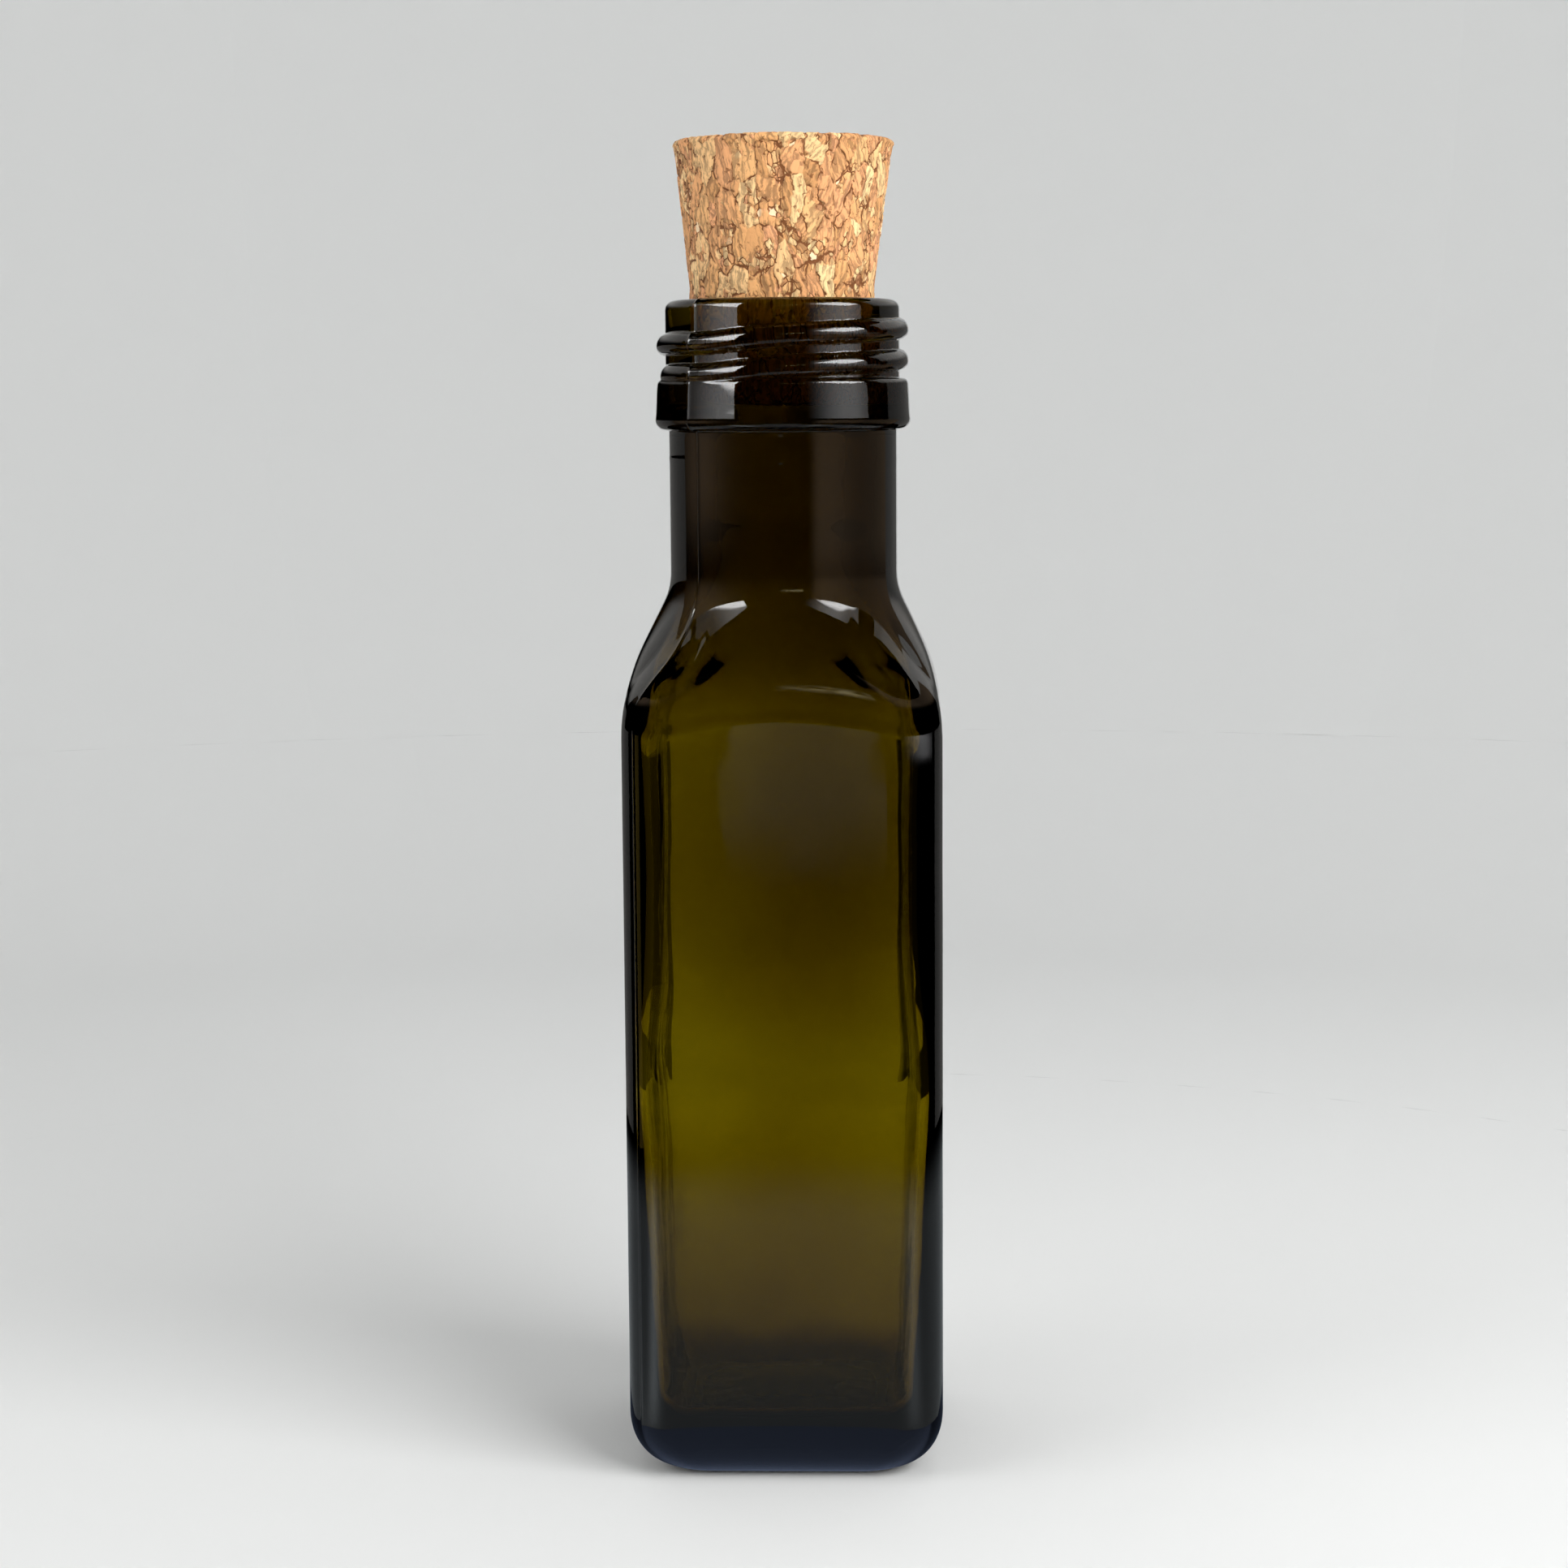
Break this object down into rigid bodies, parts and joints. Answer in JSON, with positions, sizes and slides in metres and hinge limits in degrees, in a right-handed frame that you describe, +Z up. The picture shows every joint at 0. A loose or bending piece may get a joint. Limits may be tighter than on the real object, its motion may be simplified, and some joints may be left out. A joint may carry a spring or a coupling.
{
  "type": "stoppered marasca bottle",
  "caption": "Small square dark olive glass bottle with rounded corners, a round threaded neck and a tapered cork stopper standing in its mouth.",
  "frame": {"origin": "centre of the base, on the surface that the bottle stands on", "axes": "+Z up the bottle's axis, X and Y square to its flat faces; the face turned to -Y is the one that the picture shows"},
  "size_m": [0.0382, 0.0382, 0.1609],
  "materials": {
    "olive_glass": "glossy, transparent dark olive, brown where thick",
    "agglomerated_cork": "matt pressed cork granules"
  },
  "bodies": {
    "root": {"glass_bottle": "olive_glass", "cork_stopper": "agglomerated_cork"}
  },
  "joints": []
}
